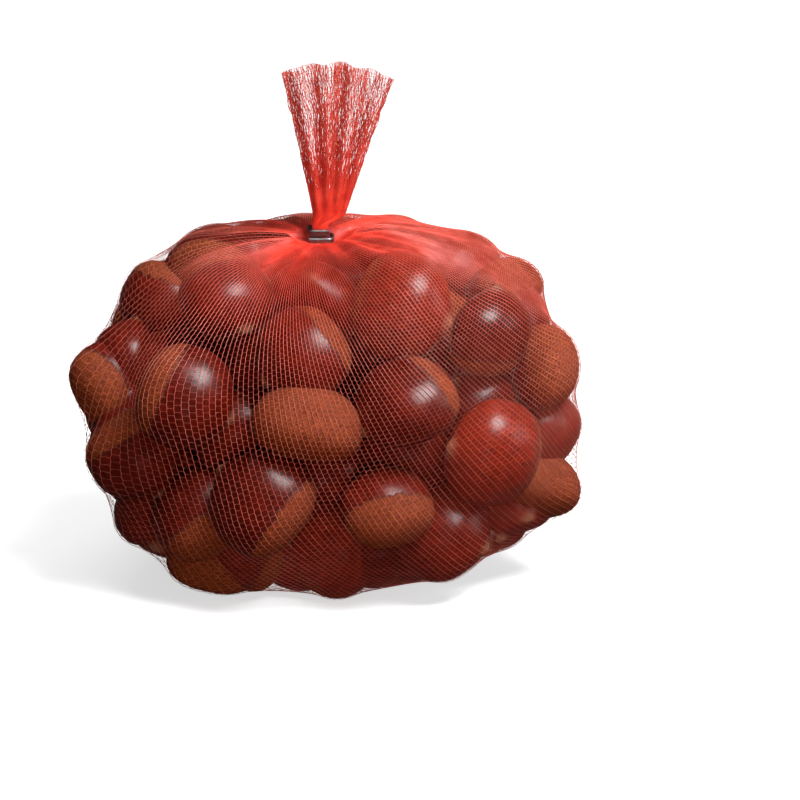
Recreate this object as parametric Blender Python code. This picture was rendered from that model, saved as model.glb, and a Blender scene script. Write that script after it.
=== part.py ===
"""A net bag of chestnuts, gathered in metal clips, with the long end of the net fanned out on top.

Metres, +Z up. The origin is on the surface that the bag rests on, under the middle of the bag, and
the bag's front faces -Y. The net and what fills it are one solid out to the lumpy skin that the net
takes as it is drawn tight over the chestnuts, with both of its gathered ends. Each clip is a solid.
"""

import math
from collections import namedtuple

import bmesh
import bpy
import numpy as np
from mathutils import Matrix, Vector
from mathutils.bvhtree import BVHTree

MM = 0.001

# Driving dimensions of the filled bag
BAG_WIDTH = 172 * MM
BAG_DEPTH = 130 * MM
BAG_HEIGHT = 117 * MM
BAG_SQUARENESS = 2.5
CORE_HEIGHT = 58.3 * MM
BASE_RADIUS = 29 * MM
NET_THICKNESS = 0.5 * MM

# The direction the bag is seen from, which the places of the front nuts are given in
VIEW_ELEVATION = math.radians(16)
VIEW_DISTANCE = 1.6

# Chestnut proportions, as shares of half the nut's width
NUT_WIDTH = 32 * MM
NUT_WIDTH_RANGE = (0.9, 1.08)
NUT_TILT = 0.22
NUT_HEIGHT_SHARE = 0.9
NUT_DOME_SHARE = 0.78
NUT_FLAT_SHARE = 0.56
NUT_BASE_POWER = 2.6
NUT_FLAT_POWER = 2.5
NUT_SHOULDER = 0.10
NUT_NIB = 0.11
NUT_LAYERS = ((62, 1.0), (34, 0.62), (8, 0.26))
NUT_SPACING = 0.68
GATHER_ROOM = 13 * MM
SEED = 11

# How readily nuts give way where they overlap: those in front, those that show between them, the rest
FRONT_GIVE = 0.025
DEEP_GIVE = 0.4
FILLING_GIVE = 1.0
DEEP_SINK = 10
DEEP_INSET = 9 * MM
PUSH_APART = 0.35
PUSH_FROM_GATHER = 0.5

# How far the skin is drawn in between the nuts, against the bag's own curvature, and how wide round
# each gathered end it isn't
DRAWN_IN = 2.5
DRAWN_FADE = 0.7

# Folds of the net round the top gather: height, how far out they rise and fade, and their waves as
# shares of the height, counts round the axis and shifts
FOLD_HEIGHT = 2.0 * MM
FOLD_RISE = 16 * MM
FOLD_FADE = 34 * MM
FOLD_WAVES = ((0.6, 11, -1.64), (0.4, 17, -2.52))
FOLD_LEVEL = 0.5

# Gathered ends of the net: where the clip's lower edge is, and the way out of the bag
TOP_GATHER = Vector((-2.9 * MM, 0, 114.1 * MM))
TOP_WAY = Vector((0, 0, 1))
END_GATHER = Vector((61 * MM, 53.6 * MM, 39.5 * MM))
END_WAY = Vector((0.477, 0.845, -0.242)).normalized()
NECK_HALF_WIDTH = 3.0 * MM
NECK_HALF_DEPTH = 2.7 * MM

# Clip of flat aluminium wire, bent once round the neck with its two legs side by side in front
CLIP_WIRE_HEIGHT = 2.5 * MM
CLIP_WIRE_THICKNESS = 1.2 * MM
CLIP_LEG_STEP = 2.8 * MM
CLIP_CLEARANCE = 0.35 * MM
CLIP_LIFT = 0.8 * MM
CLIP_CORNER = 1.3 * MM
CLIP_END_STEP = 0.9 * MM
CLIP_HEIGHT = CLIP_LEG_STEP + CLIP_WIRE_HEIGHT
CLIP_REACH = 6 * MM
SLOPE_OUT_OF_CLIP = 0.8

# Fan of net above the top clip, and the short stub beyond the end clip
FAN_LENGTH = 61.9 * MM
FAN_HALF_WIDTH = 18.7 * MM
FAN_ROOT_HALF_WIDTH = 4.0 * MM
FAN_ROOT_SHARE = 0.08
FAN_HALF_THICKNESS = 0.9 * MM
FAN_FOLD = 1.7 * MM
FAN_FOLDS = 4
FAN_FOLD_SHIFT = 0.6
FAN_ROOT_SHIFT = 2.8 * MM
FAN_LEAN = 3.0 * MM
FAN_EDGE_DROP = 4.2 * MM
FAN_EDGE_PEAK = -0.13
STUB_LENGTH = 17 * MM
STUB_HALF_WIDTH = 6.5 * MM

# Mesh fineness
COLUMNS = 96
BODY_RINGS = 38
FAN_RINGS = 9

# Nuts that hold up the back of the top, out of the viewer's sight: where their centres are (mm),
# and how far beside the gather their tips point as they lie round it
TOP_SWIRL = 20
TOP_NUTS = (
    (-46, 10, 98),
    (-38, 36, 99),
    (-8, 37, 101),
    (23, 37, 101),
    (47, 22, 98),
)

# Nuts that show at the front, and between those: the place across and up from the bag's core as seen
# (mm), how far it lies behind the net (mm), its width (mm), and where its pale base and its domed
# side point (right, up, to the viewer).
SEEN_NUTS = (
    (-50.3, 38.5, 0, 30, (0.3, 0.85, 0.0), (-0.6, 0.3, 0.7)),
    (-33.0, 33.5, 1, 33, (-0.35, 0.6, -0.6), (0.35, 0.35, 0.85)),
    (-73.3, 7.3, 0, 30, (-0.5, -0.1, 0.8), (0.8, 0.1, 0.5)),
    (-46.9, 1.4, 0, 35, (-0.9, 0.4, -0.05), (0.2, 0.1, 0.95)),
    (-9.0, 13.5, 4, 33, (0.8, 0.6, -0.15), (-0.35, 0.3, 0.85)),
    (-8.5, -8.2, 0, 38, (0.05, 0.1, 1.0), (0.17, 0.97, -0.1)),
    (24.5, 32.0, 0, 37, (-0.85, 0.3, -0.4), (0.35, 0.25, 0.9)),
    (24.8, -1.4, 0, 37, (0.78, 0.5, -0.3), (-0.2, 0.6, 0.75)),
    (54.0, -15.6, 0, 37, (0.75, -0.1, -0.6), (0.35, 0.5, 0.75)),
    (19.7, -34.0, 0, 31, (0.25, -0.85, 0.45), (0.1, 0.45, 0.85)),
    (55.5, 21.5, 1, 33, (-0.5, -0.6, -0.4), (0.2, 0.4, 0.9)),
    (53.8, 40.5, 0, 26, (0.5, 0.5, 0.6), (-0.3, 0.8, -0.4)),
    (69.3, 12.2, 0, 29, (0.5, 0.2, 0.75), (0.7, -0.1, -0.5)),
    (71.5, -9.5, 0, 29, (-0.3, -0.6, -0.3), (0.8, 0.1, 0.5)),
    (64.3, -28.6, 0, 32, (0.4, 0.2, 0.8), (0.1, 0.9, -0.3)),
    (41.0, -41.0, 2, 35, (-0.85, 0.35, -0.35), (0.0, 0.3, 0.9)),
    (1.7, -53.0, 0, 35, (-0.6, -0.5, -0.5), (0.2, 0.3, 0.9)),
    (-22.4, -31.5, 0, 38, (0.75, -0.6, 0.1), (0.2, 0.4, 0.85)),
    (-41.5, -36.7, 8, 35, (0.5, -0.8, 0.3), (-0.1, 0.4, 0.9)),
    (-39.0, -52.0, 0, 33, (-0.2, -0.4, 0.8), (0.1, 0.85, 0.4)),
    (-65.2, -17.3, 0, 33, (-0.5, 0.8, 0.0), (-0.1, 0.1, 0.95)),
    (-56.5, -34.4, 3, 31, (0.6, 0.3, 0.3), (-0.2, 0.8, 0.4)),
    (-3.5, 35.0, 3, 32, (0.1, -0.5, -0.85), (0.1, 0.7, 0.6)),
    (28.9, -17.3, 14, 32, (-0.5, -0.7, -0.6), (0.2, 0.1, 0.95)),
    (-28.0, -11.0, 14, 32, (0.5, -0.6, -0.6), (-0.2, 0.2, 0.95)),
    (-30.0, 17.0, 14, 32, (-0.6, 0.3, -0.7), (0.1, 0.3, 0.9)),
    (54.0, 5.5, 15, 33, (0.5, -0.6, -0.6), (-0.2, 0.3, 0.9)),
    (41.0, 14.0, 15, 32, (-0.3, -0.5, -0.8), (0.4, 0.3, 0.85)),
    (47.6, -32.6, 14, 32, (0.5, 0.3, -0.8), (-0.2, 0.5, 0.85)),
    (0.0, -33.0, 14, 32, (0.3, 0.5, -0.8), (0.1, 0.4, 0.9)),
    (-61.0, 13.0, 16, 31, (0.4, 0.5, -0.7), (-0.2, 0.3, 0.9)),
    (-75.0, -6.0, 12, 30, (0.4, 0.5, -0.7), (-0.4, 0.2, 0.8)),
    (-68.0, -34.0, 11, 30, (0.5, 0.3, -0.8), (-0.4, 0.2, 0.8)),
    (-56.0, -49.0, 11, 30, (0.2, 0.6, -0.8), (-0.3, 0.2, 0.8)),
    (-18.0, -58.0, 12, 32, (0.2, 0.6, -0.8), (0.1, 0.3, 0.9)),
    (24.0, -56.0, 12, 32, (-0.3, 0.6, -0.8), (0.1, 0.3, 0.9)),
    (53.5, -38.0, 4, 31, (-0.4, 0.3, -0.8), (0.4, -0.1, 0.9)),
    (66.0, 27.0, 13, 31, (-0.5, 0.3, -0.7), (0.4, 0.3, 0.8)),
    (73.0, 2.0, 12, 30, (-0.5, 0.4, -0.7), (0.5, 0.2, 0.8)),
    (71.0, -19.0, 12, 30, (-0.5, 0.4, -0.7), (0.5, -0.1, 0.8)),
)

Nut = namedtuple("Nut", "centre axes half give")


def clear_scene():
    """Removes whatever the file opened with."""
    for obj in list(bpy.data.objects):
        bpy.data.objects.remove(obj, do_unlink=True)


def material(name, colour, roughness, metallic=0.0):
    """A Principled BSDF material."""
    made = bpy.data.materials.new(name)
    made.use_nodes = True
    shader = made.node_tree.nodes["Principled BSDF"]
    shader.inputs["Base Color"].default_value = (*colour, 1)
    shader.inputs["Roughness"].default_value = roughness
    shader.inputs["Metallic"].default_value = metallic
    made.diffuse_color = (*colour, 1)
    return made


def icosphere(level):
    """Unit directions, triangles and edges of a Blender icosphere."""
    sphere = bmesh.new()
    bmesh.ops.create_icosphere(sphere, subdivisions=level, radius=1.0)
    points = np.array([vert.co for vert in sphere.verts])
    faces = np.array([[vert.index for vert in face.verts] for face in sphere.faces])
    edges = np.array([[vert.index for vert in edge.verts] for edge in sphere.edges])
    sphere.free()
    return points / np.linalg.norm(points, axis=1, keepdims=True), faces, edges


def view_axes():
    """Right, up and towards the viewer, as seen from VIEW_ELEVATION in front of the bag."""
    rise, run = math.sin(VIEW_ELEVATION), math.cos(VIEW_ELEVATION)
    return np.array([[1, 0, 0], [0, rise, run], [0, -run, rise]])


def shell_level(points, inset):
    """How far out points are: 1 on the bag's rounded-box shell drawn in by inset, under 1 inside it."""
    middle = np.array([0, 0, BAG_HEIGHT / 2])
    half = np.array([BAG_WIDTH, BAG_DEPTH, BAG_HEIGHT]) / 2 - inset
    share = np.abs((points - middle) / half) ** BAG_SQUARENESS
    return share.sum(-1) ** (1 / BAG_SQUARENESS)


def to_shell(points, inset, level=1.0):
    """Points moved along their own radius onto that shell, or onto a smaller copy of it."""
    middle = np.array([0, 0, BAG_HEIGHT / 2])
    return middle + (points - middle) * level / shell_level(points, inset)[..., None]


def seen_place(across, up, sink, inset):
    """Where a nut's centre lies, from its place in the view: on the shell as the viewer meets it."""
    right, top, near = view_axes()
    core = np.array([0, 0, CORE_HEIGHT])
    eye = core + near * VIEW_DISTANCE
    way = core + right * across + top * up - eye
    way /= np.linalg.norm(way)
    reach = np.linspace(VIEW_DISTANCE - BAG_DEPTH, VIEW_DISTANCE + BAG_DEPTH, 521)
    along = eye + way * reach[:, None]
    level = shell_level(along, inset)
    inside = np.flatnonzero(level <= 1)
    first = inside[0] if len(inside) else level.argmin()
    return along[first] + way * sink


def oriented(tip, dome):
    """Rows of a nut's own axes: broad, to the tip, and out of its domed side."""
    tip = np.array(tip, float) / np.linalg.norm(tip)
    dome = np.array(dome, float) - np.dot(dome, tip) * tip
    dome /= np.linalg.norm(dome)
    return np.array([np.cross(tip, dome), tip, dome])


def half_sizes(width):
    """Half the width, height and mean thickness of a nut."""
    thickness = (NUT_DOME_SHARE + NUT_FLAT_SHARE) / 2
    return np.array([1, NUT_HEIGHT_SHARE, thickness]) * width / 2


def placed_nuts():
    """The nuts that are placed one by one: those that show at the front, and those under the top."""
    axes = view_axes()
    nuts = []
    for across, up, sink, width, base, dome in SEEN_NUTS:
        frame = oriented(axes.T @ -np.array(base), axes.T @ np.array(dome))
        half = half_sizes(width * MM)
        reach = np.linalg.norm((frame @ axes[2]) * half)
        centre = seen_place(across * MM, up * MM, sink * MM, reach)
        nuts.append(Nut(centre, frame, half, FRONT_GIVE if sink < DEEP_SINK else DEEP_GIVE))
    for place in TOP_NUTS:
        frame = oriented((place[1], TOP_SWIRL - place[0], 0), (0, 0, 1))
        nuts.append(Nut(np.array(place) * MM, frame, half_sizes(NUT_WIDTH), FRONT_GIVE))
    return nuts


def fibonacci_directions(count):
    """Evenly spread unit directions."""
    turn = math.pi * (3 - math.sqrt(5)) * np.arange(count)
    height = 1 - (2 * np.arange(count) + 1) / count
    ring = np.sqrt(1 - height**2)
    return np.column_stack([ring * np.cos(turn), ring * np.sin(turn), height])


def filling_nuts(placed, rng):
    """Nuts for the rest of the bag: layers of spread places, less those that are taken."""
    middle = np.array([0, 0, BAG_HEIGHT / 2])
    taken = [nut.centre for nut in placed]
    nuts = []
    for count, level in NUT_LAYERS:
        for way in fibonacci_directions(count):
            width = NUT_WIDTH * rng.uniform(*NUT_WIDTH_RANGE)
            half = half_sizes(width)
            outward = way + rng.normal(0, NUT_TILT, 3)
            tip = np.cross(outward, rng.normal(0, 1, 3))
            centre = to_shell(middle + way, half[2] * 1.05, level)
            if min(np.linalg.norm(centre - other) for other in taken) > width * NUT_SPACING:
                nuts.append(Nut(centre, oriented(tip, outward), half, FILLING_GIVE))
                taken.append(centre)
    return nuts


def reach_towards(axes, half, ways):
    """How far each nut reaches from its centre along each way, with the nut taken as an ellipsoid."""
    local = np.einsum("ijk,iak->ija", ways, axes)
    return 1 / np.sqrt(np.maximum(((local / half[:, None]) ** 2).sum(-1), 1))


def settled(placed, filling, rounds=90):
    """The nuts pushed apart where they overlap, kept inside the bag and above its base."""
    nuts = placed + filling
    centres = np.array([nut.centre for nut in nuts])
    axes = np.array([nut.axes for nut in nuts])
    half = np.array([nut.half for nut in nuts])
    give = np.array([nut.give for nut in nuts])
    inset = (half[:, 2] + DEEP_INSET * (give == DEEP_GIVE))[:, None]
    down = np.sqrt(((axes[:, :, 2] * half) ** 2).sum(1))
    gathers = np.array([TOP_GATHER, END_GATHER])
    for _ in range(rounds):
        between = centres[:, None] - centres[None]
        distance = np.linalg.norm(between, axis=2) + np.eye(len(nuts))
        ways = between / distance[..., None]
        reach = reach_towards(axes, half, ways)
        overlap = np.maximum(0, reach + reach.T - distance)
        np.fill_diagonal(overlap, 0)
        centres += (ways * overlap[..., None]).sum(1) * PUSH_APART * give[:, None]
        between = centres[:, None] - gathers[None]
        distance = np.linalg.norm(between, axis=2)
        ways = between / distance[..., None]
        crowding = np.maximum(0, reach_towards(axes, half, ways) + GATHER_ROOM - distance)
        centres += (ways * crowding[..., None]).sum(1) * PUSH_FROM_GATHER * give[:, None]
        outside = (shell_level(centres, inset) > 1) & (give > FRONT_GIVE)
        held = to_shell(centres, inset)
        centres[outside] = held[outside]
        centres[:, 2] = np.maximum(centres[:, 2], down + 2 * NET_THICKNESS)
    return [Nut(*parts) for parts in zip(centres, axes, half, give)]


def nut_skin(directions, width):
    """Unit directions (broad, to the tip, through the thickness) laid onto a nut's skin."""
    half = width / 2
    polar = np.arccos(np.clip(directions[:, 1], -1, 1))
    around = directions[:, [0, 2]]
    around = around / np.maximum(np.linalg.norm(around, axis=1, keepdims=True), 1e-9)
    below = directions[:, 1] < 0
    blunt = np.where(below, 2 / NUT_BASE_POWER, 1.0)
    ring = np.abs(np.sin(polar)) ** blunt
    ring *= 1 - NUT_SHOULDER * np.exp(-(((polar - 0.5) / 0.3) ** 2))
    height = np.sign(directions[:, 1]) * np.abs(directions[:, 1]) ** blunt
    height += NUT_NIB * np.exp(-((polar / 0.15) ** 2))
    flat = np.where(around[:, 1] < 0, 2 / NUT_FLAT_POWER, 1.0)
    thick = np.where(around[:, 1] < 0, NUT_FLAT_SHARE, NUT_DOME_SHARE)
    broad = np.sign(around[:, 0]) * np.abs(around[:, 0]) ** flat
    through = np.sign(around[:, 1]) * np.abs(around[:, 1]) ** flat
    return half * np.column_stack([ring * broad, height * NUT_HEIGHT_SHARE, ring * through * thick])


def nuts_tree(nuts):
    """A search tree over the skins of all nuts."""
    directions, faces, _ = icosphere(4)
    points = []
    triangles = []
    for nut in nuts:
        triangles.append(faces + len(points) * len(directions))
        skin = nut_skin(directions, 2 * nut.half[0])
        points.append(nut.centre + skin @ nut.axes)
    return BVHTree.FromPolygons(np.concatenate(points).tolist(), np.concatenate(triangles).tolist())


def gather_reach(directions, core, place, radius):
    """How far a ball at a gathered end reaches from the core along each direction, or 0."""
    offset = np.array(place) - core
    along = directions @ offset
    off_axis = np.linalg.norm(offset - directions * along[:, None], axis=1)
    hit = (off_axis < radius) & (along > 0)
    return np.where(hit, along + np.sqrt(np.maximum(radius**2 - off_axis**2, 0)), 0)


def solid_reach(directions, core, tree):
    """How far the nuts and the gathered ends reach from the core along each direction, or 0."""
    far = BAG_WIDTH
    solid = np.zeros(len(directions))
    for index, way in enumerate(directions):
        place, _, _, distance = tree.ray_cast(Vector(core + way * far), Vector(-way))
        if place is not None:
            solid[index] = far - distance + NET_THICKNESS
    for place, way in ((TOP_GATHER, TOP_WAY), (END_GATHER, END_WAY)):
        ball = place - way * NECK_HALF_WIDTH
        solid = np.maximum(solid, gather_reach(directions, core, ball, NECK_HALF_WIDTH))
    return solid


def neighbour_means(points, edges):
    """The middle of the neighbours of each point."""
    total = np.zeros_like(points)
    for one, other in ((0, 1), (1, 0)):
        for axis in range(3):
            total[:, axis] += np.bincount(edges[:, one], points[edges[:, other], axis], len(points))
    return total / np.bincount(edges.ravel(), minlength=len(points))[:, None]


def drawn_share(directions, core):
    """How much the skin is drawn in along each direction: not at all at the gathered ends."""
    share = np.ones(len(directions))
    for place in (TOP_GATHER, END_GATHER):
        way = np.array(place) - core
        angle = np.arccos(np.clip(directions @ way / np.linalg.norm(way), -1, 1))
        share *= 1 - np.exp(-((angle / DRAWN_FADE) ** 2))
    return share


def tightened_net(nuts):
    """The skin that a stretched net takes over the nuts, found on finer and finer spheres.

    Each point moves along its own direction to the middle of its neighbours and a little short of it,
    as in a soap film that is sucked in between the nuts, but not near the two gathered ends. It stays
    outside the nuts and the gathered ends, and never goes under the flat base.
    """
    core = np.array([0, 0, CORE_HEIGHT])
    tree = nuts_tree(nuts)
    skin = None
    for level, rounds in ((4, 240), (5, 120), (6, 90)):
        directions, faces, edges = icosphere(level)
        solid = solid_reach(directions, core, tree)
        down = np.maximum(-directions[:, 2], 1e-6)
        floor = np.where(directions[:, 2] < 0, CORE_HEIGHT / down, np.inf)
        spread = np.linalg.norm(directions[:, :2], axis=1) / down * CORE_HEIGHT
        on_base = (directions[:, 2] < 0) & (spread < BASE_RADIUS)
        solid = np.where(on_base, floor, np.minimum(solid, floor))
        if skin is None:
            radius = np.maximum(solid, np.median(solid))
        else:
            radius = np.array([skin.ray_cast(Vector(core), Vector(way))[3] for way in directions])
        step = np.linalg.norm(directions[edges[:, 0]] - directions[edges[:, 1]], axis=1).mean()
        pull = DRAWN_IN * drawn_share(directions, core) * step**2 * BAG_HEIGHT / 4
        for _ in range(rounds):
            middle = (neighbour_means(directions * radius[:, None], edges) * directions).sum(1)
            radius = np.clip(middle - pull, solid, floor)
        skin = BVHTree.FromPolygons((core + directions * radius[:, None]).tolist(), faces.tolist())
    return skin


def pleat(azimuth, distance):
    """Height of the folds that run out from the top gather, at a distance from its axis."""
    rise = 1 - np.exp(-((distance / FOLD_RISE) ** 2))
    fade = np.exp(-((distance / FOLD_FADE) ** 2))
    waves = sum(share * np.cos(count * azimuth + shift) for share, count, shift in FOLD_WAVES)
    return FOLD_HEIGHT * rise * fade * max(0.0, waves + FOLD_LEVEL)


def clear_of_clip(distance):
    """The highest that the net may be at a distance from the top gather's axis: level under the clip."""
    return TOP_GATHER.z + SLOPE_OUT_OF_CLIP * max(0.0, distance - CLIP_REACH)


def body_rings(skin):
    """Rings of points up the bag, from the edge of its flat base to the top gather."""
    core = Vector((0, 0, CORE_HEIGHT))
    start = math.pi - math.atan2(BASE_RADIUS, CORE_HEIGHT)
    stop = math.atan2(NECK_HALF_WIDTH * 1.9, TOP_GATHER.z - CORE_HEIGHT)
    rings = []
    for polar in np.linspace(start, stop, BODY_RINGS):
        ring = []
        for azimuth in np.arange(COLUMNS) * 2 * math.pi / COLUMNS:
            flat = Vector((math.cos(azimuth), math.sin(azimuth), 0))
            way = flat * math.sin(polar) + TOP_WAY * math.cos(polar)
            way.x += TOP_GATHER.x / (TOP_GATHER.z - core.z) * (1 + math.cos(polar)) / 2
            place = skin.ray_cast(core, way.normalized())[0]
            distance = (place - TOP_GATHER).to_2d().length
            if polar < math.pi / 3:
                place = place + TOP_WAY * pleat(azimuth, distance)
                place.z = min(place.z, clear_of_clip(distance))
            place.z = max(place.z, 0) if polar < start else 0
            ring.append(place)
        rings.append(ring)
    return rings


def fan_ring(share):
    """One section of the neck and the fan, at a share of the way from the gather to the cut edge."""
    height = share * FAN_LENGTH
    flare_start = (CLIP_HEIGHT + 2 * CLIP_LIFT) / FAN_LENGTH
    flare = max(0.0, (share - flare_start) / (1 - flare_start))
    root = min(1.0, flare / FAN_ROOT_SHARE)
    root = root * root * (3 - 2 * root)
    half_width = NECK_HALF_WIDTH + (FAN_ROOT_HALF_WIDTH - NECK_HALF_WIDTH) * root
    half_width += (FAN_HALF_WIDTH - FAN_ROOT_HALF_WIDTH) * flare
    half_depth = NECK_HALF_DEPTH + (FAN_HALF_THICKNESS - NECK_HALF_DEPTH) * min(1.0, flare / 0.5)
    fold = FAN_FOLD * min(1.0, flare / 0.45)
    ring = []
    for azimuth in np.arange(COLUMNS) * 2 * math.pi / COLUMNS:
        across = math.cos(azimuth)
        wave = fold * math.sin(across * math.pi * FAN_FOLDS + FAN_FOLD_SHIFT)
        drop = FAN_EDGE_DROP * flare * (across - FAN_EDGE_PEAK) ** 2
        ring.append(
            Vector(
                (
                    TOP_GATHER.x + half_width * across + FAN_ROOT_SHIFT * root + FAN_LEAN * flare,
                    half_depth * math.sin(azimuth) + wave,
                    TOP_GATHER.z + height - drop,
                )
            )
        )
    return ring


def lofted(rings):
    """A closed mesh through rings of points, with a flat face over each end."""
    mesh = bmesh.new()
    loops = [[mesh.verts.new(place) for place in ring] for ring in rings]
    for lower, upper in zip(loops, loops[1:]):
        for one in range(len(lower)):
            two = (one + 1) % len(lower)
            mesh.faces.new((lower[one], lower[two], upper[two], upper[one]))
    mesh.faces.new(loops[0][::-1])
    mesh.faces.new(loops[-1])
    return mesh


def mesh_object(name, mesh, look):
    """A smooth-shaded object that holds a bmesh."""
    data = bpy.data.meshes.new(name)
    mesh.to_mesh(data)
    mesh.free()
    data.materials.append(look)
    data.shade_smooth()
    data.set_sharp_from_angle(angle=math.radians(40))
    made = bpy.data.objects.new(name, data)
    bpy.context.scene.collection.objects.link(made)
    return made


def end_frame(place, way):
    """Turns a piece built up +Z with its front to -Y so that it leaves a gathered end along way."""
    side = way.cross(Vector((0, 0, 1)))
    if side.length < 1e-6:
        return Matrix.Translation(place)
    side.normalize()
    turn = Matrix((side, way.cross(side), way)).transposed()
    return Matrix.Translation(place) @ turn.to_4x4()


def stub_rings():
    """Sections of the short end of the net, from inside the bag out through its clip, up +Z."""
    flare_start = CLIP_HEIGHT + 2 * CLIP_LIFT
    sections = (
        (-12 * MM, 7.5 * MM, 7.0 * MM),
        (-5 * MM, 5.2 * MM, 4.8 * MM),
        (-1.5 * MM, 3.4 * MM, 3.1 * MM),
        (0, NECK_HALF_WIDTH, NECK_HALF_DEPTH),
        (flare_start, NECK_HALF_WIDTH, NECK_HALF_DEPTH),
        (flare_start + 3 * MM, 0.75 * STUB_HALF_WIDTH, 2.2 * MM),
        (STUB_LENGTH, STUB_HALF_WIDTH, 1.8 * MM),
    )
    angles = np.arange(24) * 2 * math.pi / 24
    return [
        [Vector((wide * math.cos(turn), deep * math.sin(turn), height)) for turn in angles]
        for height, wide, deep in sections
    ]


def build_net(nuts, look):
    """The filled net: its body up from the flat base, the fan above the top clip and the end stub."""
    skin = tightened_net(nuts)
    rings = body_rings(skin)
    flare_start = (CLIP_HEIGHT + 2 * CLIP_LIFT) / FAN_LENGTH
    shares = [0, flare_start, flare_start + 0.035]
    shares += list(np.linspace(flare_start + 0.09, 1, FAN_RINGS))
    rings += [fan_ring(share) for share in shares]
    net = mesh_object("net_bag", lofted(rings), look)
    stub = mesh_object("end_stub", lofted(stub_rings()), look)
    stub.matrix_world = end_frame(END_GATHER, END_WAY)
    bpy.context.view_layer.update()
    join = net.modifiers.new("join_stub", "BOOLEAN")
    join.operation = "UNION"
    join.solver = "EXACT"
    join.object = stub
    stub.hide_render = True
    stub.display_type = "WIRE"
    return net


def clip_path():
    """Centre line of a clip's wire: lower leg, right side, back, left side, upper leg."""
    wide = NECK_HALF_WIDTH + CLIP_CLEARANCE + CLIP_WIRE_THICKNESS / 2
    deep = NECK_HALF_DEPTH + CLIP_CLEARANCE + CLIP_WIRE_THICKNESS / 2
    low = CLIP_LIFT + CLIP_WIRE_HEIGHT / 2
    high = low + CLIP_LEG_STEP
    corner = CLIP_CORNER
    points = [Vector((-wide, -deep, low))]
    centres = (
        (wide - corner, corner - deep, -90, low, low),
        (wide - corner, deep - corner, 0, low, low),
        (corner - wide, deep - corner, 90, high, high),
        (corner - wide, corner - deep, 180, high, high),
    )
    for x, y, start, first, last in centres:
        for step in range(5):
            angle = math.radians(start + 22.5 * step)
            height = first + (last - first) * step / 4
            points.append(Vector((x + corner * math.cos(angle), y + corner * math.sin(angle), height)))
    points.append(Vector((wide - CLIP_END_STEP, -deep, high)))
    return points


def wire_sections(path):
    """A rounded rectangle of wire swept along a path that runs level or nearly so."""
    half_high = CLIP_WIRE_HEIGHT / 2
    half_thick = CLIP_WIRE_THICKNESS / 2
    chamfer = 0.4 * MM
    outline = (
        (half_thick, half_high - chamfer),
        (half_thick - chamfer, half_high),
        (chamfer - half_thick, half_high),
        (-half_thick, half_high - chamfer),
        (-half_thick, chamfer - half_high),
        (chamfer - half_thick, -half_high),
        (half_thick - chamfer, -half_high),
        (half_thick, chamfer - half_high),
    )
    rings = []
    for index, place in enumerate(path):
        before = path[max(index - 1, 0)]
        after = path[min(index + 1, len(path) - 1)]
        along = after - before
        outward = Vector((along.y, -along.x, 0)).normalized()
        rings.append([place + outward * out + Vector((0, 0, up)) for out, up in outline])
    return rings


def build_clip(name, place, way, look):
    """One closed clip round a neck of the net."""
    mesh = lofted(wire_sections(clip_path()))
    bmesh.ops.recalc_face_normals(mesh, faces=mesh.faces)
    clip = mesh_object(name, mesh, look)
    clip.matrix_world = end_frame(place, way)
    return clip


def main():
    clear_scene()
    red_net = material("red_net", (0.62, 0.06, 0.04), 0.45)
    clip_metal = material("clip_metal", (0.45, 0.45, 0.46), 0.38, 1.0)
    rng = np.random.default_rng(SEED)
    placed = placed_nuts()
    nuts = settled(placed, filling_nuts(placed, rng))
    build_net(nuts, red_net)
    build_clip("top_clip", TOP_GATHER, TOP_WAY, clip_metal)
    build_clip("end_clip", END_GATHER, END_WAY, clip_metal)


main()
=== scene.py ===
"""Looks of the net bag of chestnuts: the nuts, every thread of the knitted net, and the clips.

Metres, +Z up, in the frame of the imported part. The nuts are laid out by the same rules as in the
part's solid, with more of them behind the gaps. The net is found as the skin that a stretched net
takes over them, and its threads run over that skin from the gathered top to the gathered end behind.
"""

import math
from collections import namedtuple

import bmesh
import bpy
import numpy as np
from mathutils import Matrix, Vector
from mathutils.bvhtree import BVHTree


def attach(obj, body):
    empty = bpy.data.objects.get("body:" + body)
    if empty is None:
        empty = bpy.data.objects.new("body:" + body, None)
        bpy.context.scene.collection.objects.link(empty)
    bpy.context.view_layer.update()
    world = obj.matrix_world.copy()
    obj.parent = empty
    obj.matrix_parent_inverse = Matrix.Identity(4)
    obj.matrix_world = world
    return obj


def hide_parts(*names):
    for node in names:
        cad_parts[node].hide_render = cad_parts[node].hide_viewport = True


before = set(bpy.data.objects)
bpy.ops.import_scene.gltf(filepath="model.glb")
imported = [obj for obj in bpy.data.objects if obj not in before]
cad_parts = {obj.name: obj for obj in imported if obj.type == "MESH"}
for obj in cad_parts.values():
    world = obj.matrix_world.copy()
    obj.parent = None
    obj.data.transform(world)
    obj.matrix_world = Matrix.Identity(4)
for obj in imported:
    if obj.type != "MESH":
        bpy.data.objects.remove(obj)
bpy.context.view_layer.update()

MM = 0.001

# The filled bag
BAG_WIDTH = 172 * MM
BAG_DEPTH = 130 * MM
BAG_HEIGHT = 117 * MM
BAG_SQUARENESS = 2.5
CORE_HEIGHT = 58.3 * MM
CORE = np.array([0, 0, CORE_HEIGHT])
MIDDLE = np.array([0, 0, BAG_HEIGHT / 2])
BASE_RADIUS = 29 * MM
NET_THICKNESS = 0.5 * MM

# The camera: its height above the level, its distance, and the frame's width and middle at the core
VIEW_ELEVATION = math.radians(16)
VIEW_DISTANCE = 1.6
FRAME_WIDTH = 272 * MM
AIM_ACROSS = 23.8 * MM
AIM_UP = 1.4 * MM
SENSOR_WIDTH = 36

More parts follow.
